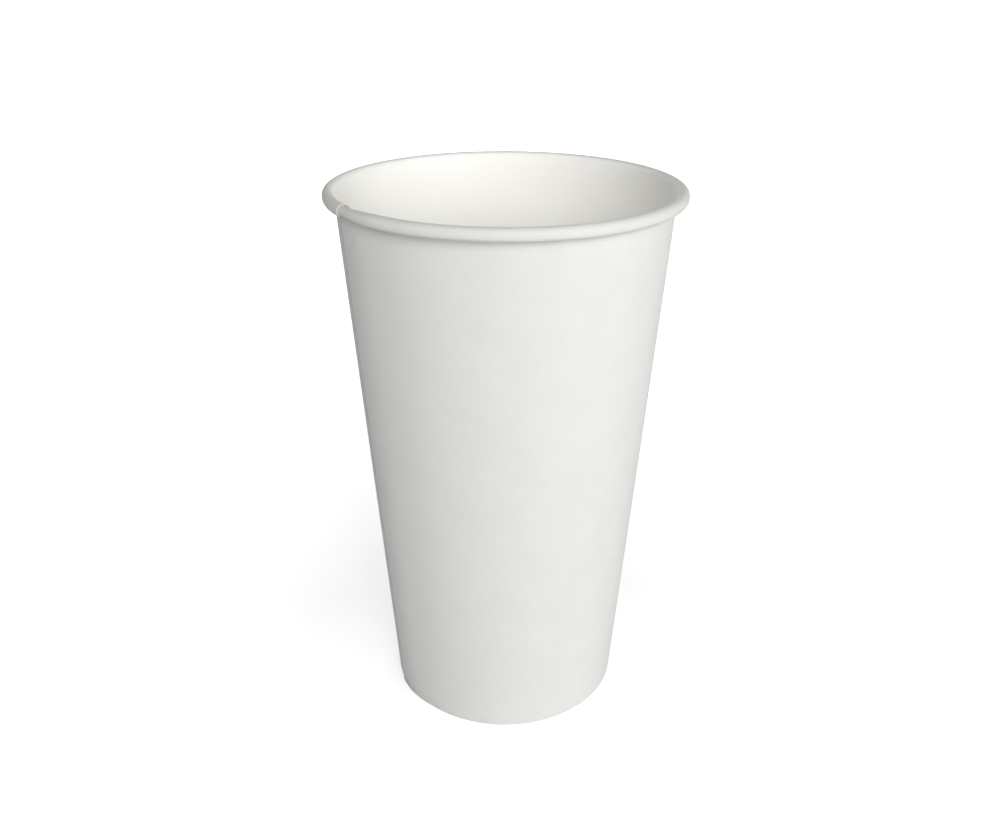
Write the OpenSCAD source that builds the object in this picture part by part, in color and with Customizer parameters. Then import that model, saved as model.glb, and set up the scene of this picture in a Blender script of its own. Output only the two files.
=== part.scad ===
// Single-wall paper cup for hot drinks, 16 oz size. Millimetres, +Z up, origin on the
// cup's axis in the plane that it stands on.
//
// Two pieces of coated paperboard. A fan-shaped blank is wrapped round and lapped into the
// side wall, its top edge is rolled outward into the rim and its bottom edge is folded in
// and up. A disc with a turned-down flange is sealed between the wall and that fold.

/* [Body] */
// Height from the table to the top of the rim
cup_h = 140; // [110:1:170]
// Outside diameter of the rolled rim
rim_d = 90; // [82:0.5:98]
// Outside diameter of the wall where it meets the table
foot_d = 61; // [52:0.5:70]

/* [Paperboard] */
// Thickness of the side wall's board
wall_t = 0.36; // [0.3:0.02:0.42]
// Thickness of the bottom's board
bottom_t = 0.32; // [0.26:0.02:0.4]
// Thickness of the film that seals two layers of board together
seal_t = 0.03; // [0.02:0.01:0.05]

/* [Rim] */
// Width of the rolled bead, from the cup's inside to its outermost point
bead_w = 3.2; // [3:0.1:3.4]
// Height of the rolled bead
bead_h = 3.1; // [2.9:0.1:3.8]
// Space left inside the roll between the board's edge and the two layers of the seam
roll_space = 0.1; // [0.05:0.05:0.2]

/* [Side seam] */
// Direction of the inner layer's cut edge, anticlockwise from +X
seam_angle = 212.5; // [0:0.5:359.5]
// Width of the lap at the rim
lap_w = 7; // [5:0.5:9]
// Width at the rim of the ramp by which the outer layer climbs over the inner one's edge
ramp_w = 4; // [3:0.5:6]
/* [Bottom] */
// Height above the table of the edge of the turned-up hem
hem_h = 7; // [5:0.5:10]
// Space between the hem's edge and the bend in the bottom disc
hem_space = 0.8; // [0.4:0.2:2]
// Radius inside the bend between the bottom disc and its flange
bend_r = 0.6; // [0.4:0.1:1.2]
// Space between the flange's lower edge and the fold that it stands in
flange_space = 0.3; // [0.1:0.1:0.6]
// Depth to which the fold's round underside is pressed flat
foot_press = 0.1; // [0.05:0.05:0.2]

/* [Hidden] */
$fn = 144;

board = "#f3f2ed";
// Largest step along the small bends, in degrees
bend_step = 15;
// Steps in which the lapped end climbs, and how far each reaches into the one before
ramp_steps = 4;
step_overlap = 0.2;

lap_step = wall_t + seal_t;

// The upper half of the bead continues the wall's inner face over the top of the cup
bead_r = bead_w / 2;
bead_at = [rim_d / 2 - bead_r, cup_h - bead_r];
// The lower half is smaller and further out, so that it closes clear of the wall's lap
roll_shift = (wall_t + lap_step + roll_space) / 2;
under_r = bead_r - roll_shift;
under_at = [roll_shift, under_r + bead_r - bead_h];

// Lean of the wall from upright: its outer face stands on foot_d and meets the roll
foot_reach = [bead_at.x - foot_d / 2, bead_at.y];
lean = acos((bead_r - wall_t) / norm(foot_reach)) - atan2(foot_reach.y, foot_reach.x);

// The fold is as wide inside as the flange and its two films of seal
fold_gap = bottom_t + 2 * seal_t;
fold_r = fold_gap / 2 + wall_t;
fold_x = -bead_r - fold_gap / 2;
fold_at = [fold_x, rise(fold_r - foot_press, fold_x)];

// Angles about the cup's axis that the seam's lap and ramp take up
lap_angle = lap_w / (PI * rim_d) * 360;
ramp_angle = ramp_w / (PI * rim_d) * 360;

// The section is drawn in the wall's own directions, with x across the wall, y up along it
// and the bead's centre at the origin. This turns a point into radius and height.
function placed(p) = bead_at
    + [p.x * cos(lean) + p.y * sin(lean), p.y * cos(lean) - p.x * sin(lean)];

// Distance along the wall of a point at height z and at x across the wall
function rise(z, x) = (z - bead_at.y + x * sin(lean)) / cos(lean);

function arc(centre, r, from, to) =
    let(steps = ceil(abs(to - from) / bend_step))
    [for (i = [0 : steps])
        let(a = from + (to - from) * i / steps)
        centre + r * [cos(a), sin(a)]];

// Path of the blank from its bottom edge to its top edge, on a face that lies at depth d
// from the face inside the cup: up the hem, under the fold, up the wall and round the roll
function face_path(d) = concat(
    [[fold_x - fold_gap / 2 - d, rise(hem_h, fold_x - fold_r)]],
    arc(fold_at, fold_gap / 2 + d, 180, 360),
    arc([0, 0], bead_r - d, 180, 0),
    arc(under_at, under_r - d, 0, -180)
);

function reversed(list) = [for (i = [len(list) - 1 : -1 : 0]) list[i]];

// Section through the blank where it is raised by d off the layer below it
function blank_section(d) = [
    for (p = concat(face_path(d), reversed(face_path(d + wall_t)))) placed(p)
];

// The end of the blank that climbs onto its beginning and lies over it, from the foot of
// the ramp on: each step up is a short stretch of the turn, and the last one is the lap
module lapped_end() {
    for (i = [1 : ramp_steps]) {
        from = ramp_angle * (i - 1) / ramp_steps - step_overlap;
        to = i == ramp_steps ? ramp_angle + lap_angle : ramp_angle * i / ramp_steps;
        rotate([0, 0, -to])
            rotate_extrude(angle = to - from)
                polygon(blank_section(lap_step * i / ramp_steps));
    }
}

// The wrapped blank: one turn less the ramp, then the lapped end over its beginning
module side_wall() {
    below = 2 * wall_t;
    color(board)
        rotate([0, 0, seam_angle + ramp_angle])
            difference() {
                union() {
                    rotate_extrude(angle = 360 - ramp_angle) polygon(blank_section(0));
                    lapped_end();
                }
                translate([0, 0, -below]) cylinder(h = below, d = rim_d);
            }
}

// The bottom disc: flat across the cup, then bent down along the wall
module bottom_disc() {
    floor_h = hem_h + hem_space + bend_r + bottom_t;
    outer_r = bend_r + bottom_t;
    bend_x = -bead_r - seal_t - outer_r;
    bend_at = [bend_x, rise(floor_h - outer_r, bend_x)];
    flange_end = fold_at.y - fold_gap / 2 + flange_space;
    flange = concat(
        arc(bend_at, outer_r, 90 + lean, 0),
        [[bend_x + outer_r, flange_end], [bend_x + bend_r, flange_end]],
        arc(bend_at, bend_r, 0, 90 + lean)
    );
    color(board)
        rotate_extrude()
            polygon(concat(
                [[0, floor_h]],
                [for (p = flange) placed(p)],
                [[0, floor_h - bottom_t]]
            ));
}

side_wall();
bottom_disc();
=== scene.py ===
import math

import bmesh
import bpy
from mathutils import Matrix, Vector


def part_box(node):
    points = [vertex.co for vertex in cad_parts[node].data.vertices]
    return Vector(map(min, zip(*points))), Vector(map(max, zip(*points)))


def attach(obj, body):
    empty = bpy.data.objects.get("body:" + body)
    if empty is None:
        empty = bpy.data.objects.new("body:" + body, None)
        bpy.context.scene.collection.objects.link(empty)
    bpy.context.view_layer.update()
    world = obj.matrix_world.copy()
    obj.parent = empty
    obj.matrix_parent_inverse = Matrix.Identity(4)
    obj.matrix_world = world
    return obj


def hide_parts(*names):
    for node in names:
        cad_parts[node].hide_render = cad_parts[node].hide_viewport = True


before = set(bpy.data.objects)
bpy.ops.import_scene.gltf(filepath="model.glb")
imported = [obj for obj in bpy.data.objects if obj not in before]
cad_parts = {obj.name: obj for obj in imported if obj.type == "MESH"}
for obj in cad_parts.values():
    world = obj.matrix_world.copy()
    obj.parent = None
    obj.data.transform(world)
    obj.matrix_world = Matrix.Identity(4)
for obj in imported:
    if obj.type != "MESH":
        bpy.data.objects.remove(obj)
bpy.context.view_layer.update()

# Side wall
# The real piece is one fan-shaped blank of coated white board, 0.36 mm thick. It is wrapped
# into a cone and lapped at a side seam, its top edge is rolled outward into the bead and
# its bottom edge is folded in and up as a hem, crimped by a knurled wheel.

MM = 0.001
rim_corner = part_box("side_wall")[1]
rim_r = rim_corner.x
cup_h = rim_corner.z
foot_r = 30.5 * MM
board_t = 0.36 * MM
bottom_t = 0.32 * MM
seal_t = 0.03 * MM
hem_h = 7.0 * MM
foot_press = 0.1 * MM

# The bead's upper half continues the wall; its lower half is smaller and further out, so
# that the roll closes clear of the seam's two layers
bead_r = 1.6 * MM
bead_h = 3.1 * MM
roll_space = 0.1 * MM
lap_depth = board_t + seal_t
roll_shift = (board_t + lap_depth + roll_space) / 2
under_r = bead_r - roll_shift
bead_drop = bead_h - bead_r - under_r
bead_at = Vector((rim_r - bead_r, 0, cup_h - bead_r))

# The seam: the inner layer's cut edge, and the widths at the rim of the lap over it and of
# the stretch in which the outer layer climbs
seam_turn = math.radians(212.5)
lap_turn = 7.0 * MM / rim_r
ramp_turn = 14.0 * MM / rim_r

# The section is drawn upright about the bead's centre and then leaned outward with the wall
foot_reach = Vector((bead_at.x - foot_r, bead_at.z))
lean = math.acos((bead_r - board_t) / foot_reach.length) \
    - math.atan2(foot_reach.y, foot_reach.x)
stand_up = Matrix.Translation(bead_at) @ Matrix.Rotation(lean, 4, "Y")

# The fold holds the bottom disc's flange and a film of seal on each side of it
fold_gap_r = bottom_t / 2 + seal_t
fold_x = -bead_r - fold_gap_r


def along_wall(z, x):
    """Place along the leaning wall of a point at height z and at x across the wall."""
    return (z - bead_at.z + x * math.sin(lean)) / math.cos(lean)


def draw_straight(sheet, tip, x, z, pieces):
    """Draws the section on from its last point, in a straight line of that many pieces."""
    step = (Vector((x, 0, z)) - tip.co) / pieces
    for _ in range(pieces):
        tip = bmesh.ops.extrude_vert_indiv(sheet, verts=[tip])["verts"][0]
        tip.co += step
    return tip


def draw_bend(sheet, tip, x, z, angle, pieces):
    """Draws the section on round a centre; a positive angle is clockwise seen from the front."""
    bend = bmesh.ops.spin(sheet, geom=[tip], cent=(x, 0, z), axis=(0, 1, 0),
                          angle=angle, steps=pieces)
    return next(part for part in bend["geom_last"] if isinstance(part, bmesh.types.BMVert))


def link_piece(name, shape):
    """Turns a finished bmesh into a smooth object that sits at the cup's own origin."""
    mesh = bpy.data.meshes.new(name)
    shape.to_mesh(mesh)
    shape.free()
    mesh.shade_smooth()
    piece = bpy.data.objects.new(name, mesh)
    bpy.context.scene.collection.objects.link(piece)
    return piece


def thicken(piece, depth):
    """Gives a drawn sheet the thickness of its board, on the side that its faces point to.

    A face's own slot colours the board's far side, the next slot its drawn side, and the
    one after that its cut edge.
    """
    board = piece.modifiers.new("board thickness", "SOLIDIFY")
    board.thickness = depth
    board.offset = 1
    board.use_even_offset = True
    board.material_offset = 1
    board.material_offset_rim = 2


# The blank's coated face, from the hem's edge round the fold, up the wall and round the roll
wall = bmesh.new()
hem_edge = along_wall(hem_h, fold_x - fold_gap_r - board_t)
fold_z = along_wall(fold_gap_r + board_t - foot_press, fold_x)
tip = wall.verts.new((fold_x - fold_gap_r, 0, hem_edge))
tip = draw_straight(wall, tip, fold_x - fold_gap_r, fold_z, pieces=14)
tip = draw_bend(wall, tip, fold_x, fold_z, -math.pi, pieces=12)
tip = draw_straight(wall, tip, -bead_r, 0, pieces=48)
tip = draw_bend(wall, tip, 0, 0, math.pi, pieces=16)
tip = draw_straight(wall, tip, bead_r, -bead_drop, pieces=1)
tip = draw_bend(wall, tip, roll_shift, -bead_drop, math.pi, pieces=14)
bmesh.ops.transform(wall, matrix=Matrix.Rotation(seam_turn, 4, "Z") @ stand_up,
                    verts=wall.verts)

# The blank runs clockwise from the inner cut edge, and its last rings climb over its first
plain_rings = 270
ramp_rings = 24
lap_rings = 8
around = bmesh.ops.spin(wall, geom=wall.verts[:] + wall.edges[:], cent=(0, 0, 0),
                        axis=(0, 0, 1), angle=ramp_turn - 2 * math.pi, steps=plain_rings)
raised = []
for ring in range(ramp_rings + lap_rings):
    on_ramp = ring < ramp_rings
    turn = ramp_turn / ramp_rings if on_ramp else lap_turn / lap_rings
    around = bmesh.ops.spin(wall, geom=around["geom_last"], cent=(0, 0, 0),
                            axis=(0, 0, 1), angle=-turn, steps=1)
    climbed = min((ring + 1) / ramp_rings, 1)
    depth = lap_depth * (1 - math.cos(math.pi * climbed)) / 2
    verts = [part for part in around["geom_last"] if isinstance(part, bmesh.types.BMVert)]
    raised.append((verts, depth))

# The board's thickness grows to the outside of the cup, which is down at the roll's crest
wall.normal_update()
crest = max(wall.verts, key=lambda vert: vert.co.z)
if crest.normal.z > 0:
    bmesh.ops.reverse_faces(wall, faces=wall.faces)
    wall.normal_update()
moves = [(vert, vert.normal * depth) for verts, depth in raised for vert in verts]
for vert, move in moves:
    vert.co += move

# The fold is pressed flat where the cup stands
for vert in wall.verts:
    vert.co.z = max(vert.co.z, board_t)

# The crimping wheel leaves upright ribs on the hem, 3 mm apart, that fade out at both ends.
# The hem is what faces the cup's axis, up to the height of its own edge
rib_depth = 0.12 * MM
rib_foot = 1 * MM
rib_h = hem_h - 1.4 * MM
rib_count = 60
hem_top = hem_h + 0.01 * MM
for vert in wall.verts:
    if vert.co.z > hem_top or vert.normal.xy.dot(vert.co.xy) > 0:
        continue
    reach = math.sin(math.pi * max(0, min(1, (vert.co.z - rib_foot) / rib_h)))
    wave = (1 + math.cos(rib_count * math.atan2(vert.co.y, vert.co.x))) / 2
    inward = -vert.co.xy.normalized() * rib_depth * reach * wave
    vert.co.x += inward.x
    vert.co.y += inward.y

# The roll takes its own set of slots. It is all that lies up and out of a sloping line
# through the place where the wall's inner face starts to curve
# The roll's coated face takes the rim board, whose colour is painted shade on the bead
roll_slot = 3
roll_line = (cup_h - bead_r) + (rim_r - 2 * bead_r)
for face in wall.faces:
    centre = face.calc_center_median()
    if centre.z + centre.xy.length > roll_line:
        face.material_index = roll_slot

side_wall = link_piece("side_wall_board", wall)
thicken(side_wall, board_t)


def srgb(code):
    """An sRGB hex colour as the linear values that a shader takes."""
    channels = [int(code[i:i + 2], 16) / 255 for i in (1, 3, 5)]
    return tuple(c / 12.92 if c <= 0.04045 else ((c + 0.055) / 1.055) ** 2.4
                 for c in channels) + (1,)


def node(material, kind, settings, inputs):
    """Adds a node with its settings; an input takes a value or another node's output."""
    added = material.node_tree.nodes.new(kind)
    for name, value in settings.items():
        setattr(added, name, value)
    for name, value in inputs.items():
        if isinstance(value, bpy.types.NodeSocket):
            material.node_tree.links.new(value, added.inputs[name])
        else:
            added.inputs[name].default_value = value
    return added


def paperboard(name, light, dark, roughness, gloss, fibre_mm, bump_mm):
    """Board whose fibres show as a fine grain and, more widely, as a faint cloudiness.

    The pulp settles in clouds about 9 mm across, which is their real size. Fibres are only
    0.03 mm wide, too fine to show, so the grain is drawn as wide as fibre_mm says.
    """
    material = bpy.data.materials.new(name)
    material.use_nodes = True
    links = material.node_tree.links
    shader = material.node_tree.nodes["Principled BSDF"]
    place = node(material, "ShaderNodeTexCoord", {}, {}).outputs["Object"]
    cloud_mm = 9
    cloud = node(material, "ShaderNodeTexNoise", {}, {
        "Vector": place, "Scale": 1 / (cloud_mm * MM), "Detail": 4,
        "Roughness": 0.6}).outputs["Fac"]
    grain = node(material, "ShaderNodeTexNoise", {}, {
        "Vector": place, "Scale": 1 / (fibre_mm * MM), "Detail": 3}).outputs["Fac"]
    grain_share = 0.4
    fibres = node(material, "ShaderNodeMix", {}, {
        0: grain_share, 2: cloud, 3: grain}).outputs[0]
    colour = node(material, "ShaderNodeValToRGB", {}, {"Fac": fibres})
    usual_range = (0.3, 0.7)
    for stop, position, code in zip(colour.color_ramp.elements, usual_range, (dark, light)):
        stop.position = position
        stop.color = srgb(code)
    rough_spread = 0.05
    rough = node(material, "ShaderNodeMapRange", {}, {
        "Value": cloud, "To Min": roughness - rough_spread,
        "To Max": roughness + rough_spread})
    bump = node(material, "ShaderNodeBump", {}, {
        "Height": grain, "Strength": 1, "Distance": bump_mm * MM})
    links.new(colour.outputs["Color"], shader.inputs["Base Color"])
    links.new(rough.outputs["Result"], shader.inputs["Roughness"])
    links.new(bump.outputs["Normal"], shader.inputs["Normal"])
    shader.inputs["Specular IOR Level"].default_value = gloss
    return material


# Bleached board, pressed smooth and left uncoated: a matt white without any highlight
outside_board = paperboard("bleached_board_outside", "#E4E4E2", "#DFDFDD",
                           roughness=0.8, gloss=0.05, fibre_mm=0.5, bump_mm=0.006)

# The same board under an extruded polyethylene film: creamier and smoother, with a soft sheen.
# It is drawn much whiter than the bare outside: painted light that brightens the inside,
# standing in for light that comes through the thin wall, so that the inside glows by the light
# that its walls throw at each other
inside_board = paperboard("polyethylene_coated_board", "#FEFDF9", "#FCFBF6",
                          roughness=0.6, gloss=0.1, fibre_mm=0.8, bump_mm=0.003)

# Fibres bared by the die: a greyer, rougher line along each cut edge
cut_board = paperboard("cut_board_edge", "#C8C4BA", "#B8B4A9",
                       roughness=0.8, gloss=0.1, fibre_mm=0.2, bump_mm=0.02)

# Coated board drawn round the curling die: its film is stretched thin and dull over the bead.
# Its colour is painted shade: as white as the inside where the roll starts, it darkens to a grey
# over the crest, where little light falls from above
rim_board = paperboard("coated_board_rim_painted_shade", "#E1E0DC", "#DEDDD8",
                       roughness=0.75, gloss=0.05, fibre_mm=0.5, bump_mm=0.004)
# The painted shade grows over the roll, from its inner start to full just past the crest
painted_shade_from_r = rim_r - 2.05 * bead_r
painted_shade_full_r = rim_r - 0.9 * bead_r
place = node(rim_board, "ShaderNodeTexCoord", {}, {}).outputs["Object"]
level = node(rim_board, "ShaderNodeVectorMath", {"operation": "MULTIPLY"}, {
    0: place, 1: (1, 1, 0)}).outputs["Vector"]
radius = node(rim_board, "ShaderNodeVectorMath", {"operation": "LENGTH"}, {
    0: level}).outputs["Value"]
crest_shade = node(rim_board, "ShaderNodeMapRange", {"interpolation_type": "SMOOTHSTEP"}, {
    "Value": radius, "From Min": painted_shade_from_r, "From Max": painted_shade_full_r}).outputs["Result"]
film = rim_board.node_tree.nodes["Principled BSDF"].inputs["Base Color"]
blend = node(rim_board, "ShaderNodeMix", {"data_type": "RGBA"}, {
    0: crest_shade, 6: srgb("#FDFCF8"), 7: film.links[0].from_socket}).outputs[2]
rim_board.node_tree.links.new(blend, film)

# Slots come in sets of outer face, inner face and cut edge: first the wall, then the roll
for material in (outside_board, inside_board, cut_board,
                 outside_board, rim_board, cut_board):
    side_wall.data.materials.append(material)
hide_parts("side_wall")
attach(side_wall, "root")

# Bottom disc
# The real piece is a punched disc of the same coated board, 0.32 mm thick, with its edge
# turned down as a flange that is sealed between the wall and the hem.

hem_space = 0.8 * MM
flange_space = 0.3 * MM
bend_r = 0.6 * MM
floor_h = hem_h + hem_space + bend_r + bottom_t
bend_x = -bead_r - seal_t - bottom_t - bend_r
bend_z = along_wall(floor_h - bottom_t - bend_r, bend_x)
flange_end = fold_z - fold_gap_r + flange_space

# The disc's underside, from the flange's lower edge up round the bend and in to the centre
disc = bmesh.new()
tip = disc.verts.new((bend_x + bend_r, 0, flange_end))
tip = draw_straight(disc, tip, bend_x + bend_r, bend_z, pieces=4)
tip = draw_bend(disc, tip, bend_x, bend_z, -math.pi / 2 - lean, pieces=8)
bmesh.ops.transform(disc, matrix=stand_up, verts=disc.verts)
tip = draw_straight(disc, tip, 0, floor_h - bottom_t, pieces=24)
disc_rings = 192
bmesh.ops.spin(disc, geom=disc.verts[:] + disc.edges[:], cent=(0, 0, 0), axis=(0, 0, 1),
               angle=2 * math.pi, steps=disc_rings, use_merge=True)
same_place = 0.001 * MM
bmesh.ops.remove_doubles(disc, verts=disc.verts, dist=same_place)

# The board's thickness grows to the inside of the cup, which is up
bmesh.ops.recalc_face_normals(disc, faces=disc.faces)
disc.normal_update()
if min(disc.verts, key=lambda vert: vert.co.xy.length).normal.z < 0:
    bmesh.ops.reverse_faces(disc, faces=disc.faces)

bottom_disc = link_piece("bottom_board", disc)
thicken(bottom_disc, bottom_t)
for material in (inside_board, outside_board, cut_board):
    bottom_disc.data.materials.append(material)
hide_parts("bottom_disc")
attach(bottom_disc, "root")

# Floor
# A plain pale studio floor, painted matt. It is drawn white away from the cup and keeps the
# cup's soft shadow, and the light that it throws back is that of a pale grey card.

floor_half = 6
floor_mesh = bmesh.new()
bmesh.ops.create_grid(floor_mesh, x_segments=1, y_segments=1, size=floor_half)
floor = link_piece("studio_floor", floor_mesh)


def drawn_ray(material):
    """1 for a ray that draws what is behind the cup, and 0 for one that lights the cup."""
    rays = node(material, "ShaderNodeLightPath", {}, {}).outputs
    drawn = node(material, "ShaderNodeMath", {"operation": "MAXIMUM"}, {
        0: rays["Is Camera Ray"], 1: rays["Is Glossy Ray"]}).outputs[0]
    return node(material, "ShaderNodeMath", {"operation": "MAXIMUM"}, {
        0: drawn, 1: rays["Is Transmission Ray"]}).outputs[0]


# Matt emulsion paint: even and without any shine, so that only the shadow shows on it
floor_paint = bpy.data.materials.new("matt_white_floor")
floor_paint.use_nodes = True
paint = floor_paint.node_tree.nodes["Principled BSDF"]
paint.inputs["Roughness"].default_value = 0.9
paint.inputs["Emission Color"].default_value = (1, 1, 1, 1)
drawn = drawn_ray(floor_paint)
colour = node(floor_paint, "ShaderNodeMix", {"data_type": "RGBA"}, {
    0: drawn, 6: srgb("#CFCFCE"), 7: srgb("#DFDFDE")})
floor_paint.node_tree.links.new(colour.outputs[2], paint.inputs["Base Color"])

# Its own white rises from a half near the cup, where the shadow shows, to the full white
near_cup = 60 * MM
white_from = 300 * MM
near_white = 0.5
place = node(floor_paint, "ShaderNodeTexCoord", {}, {}).outputs["Object"]
from_cup = node(floor_paint, "ShaderNodeVectorMath", {"operation": "LENGTH"}, {
    0: place}).outputs["Value"]
white = node(floor_paint, "ShaderNodeMapRange", {}, {
    "Value": from_cup, "From Min": near_cup, "From Max": white_from,
    "To Min": near_white, "To Max": 1}).outputs["Result"]
lift = node(floor_paint, "ShaderNodeMath", {"operation": "MULTIPLY"}, {0: drawn, 1: white})
floor_paint.node_tree.links.new(lift.outputs[0], paint.inputs["Emission Strength"])
floor.data.materials.append(floor_paint)

# Studio light
# Broad soft boxes stand low in front and to the right, so that the wall falls off into a
# soft grey on its left. One from the left lights the inside, and one stands behind.


def soft_lamp(name, azimuth, elevation, watts):
    """A square soft box that faces the cup; azimuth runs from the viewer to the right."""
    box_size = 0.9
    box_reach = 1.4
    half_cup = cup_h / 2
    lamp = bpy.data.lights.new(name, "AREA")
    lamp.size = box_size
    lamp.energy = watts
    stand = bpy.data.objects.new(name, lamp)
    turn = Matrix.Rotation(math.radians(azimuth), 4, "Z")
    raise_up = Matrix.Rotation(math.radians(90 - elevation), 4, "X")
    stand.matrix_world = Matrix.Translation((0, 0, half_cup)) @ turn @ raise_up \
        @ Matrix.Translation((0, 0, box_reach))
    bpy.context.scene.collection.objects.link(stand)


soft_lamp("front_box", 0, 30, 7.2)
soft_lamp("front_right_box", 30, 22, 10)
soft_lamp("right_box", 78, 13, 6)
soft_lamp("left_box", -67, 40, 4.1)
soft_lamp("back_box", 180, 10, 12)

# The studio's white walls are seen behind the cup, and give it no light
studio = bpy.data.worlds.new("white_studio")
bpy.context.scene.world = studio
studio.use_nodes = True
backdrop = studio.node_tree.nodes["Background"]
backdrop.inputs["Color"].default_value = (1, 1, 1, 1)
studio.node_tree.links.new(drawn_ray(studio), backdrop.inputs["Strength"])

# Camera
# It stands in front of the cup, a little above its rim, and looks down at it. Its place and
# lens were fitted to the outline of the rim, wall and foot in the photograph, so that the
# lens is given in the photograph's pixels.

IMAGE_W = 1008
focal_px = 1023.27
shift_px = (-1.397, -80)
eye_y = -249.82 * MM
eye_z = 193.43 * MM
look_down = 0.3620
tilt_left = 0.0033
camera = bpy.data.cameras.new("photo_camera")
camera.sensor_width = 36
camera.lens = focal_px / IMAGE_W * camera.sensor_width
camera.shift_x = shift_px[0] / IMAGE_W
camera.shift_y = shift_px[1] / IMAGE_W
camera.clip_start = 0.01
viewer = bpy.data.objects.new("photo_camera", camera)
viewer.matrix_world = Matrix.Translation((0, eye_y, eye_z)) \
    @ Matrix.Rotation(math.pi / 2 - look_down, 4, "X") @ Matrix.Rotation(tilt_left, 4, "Z")
bpy.context.scene.collection.objects.link(viewer)
bpy.context.scene.camera = viewer
bpy.context.scene.view_settings.view_transform = "Standard"
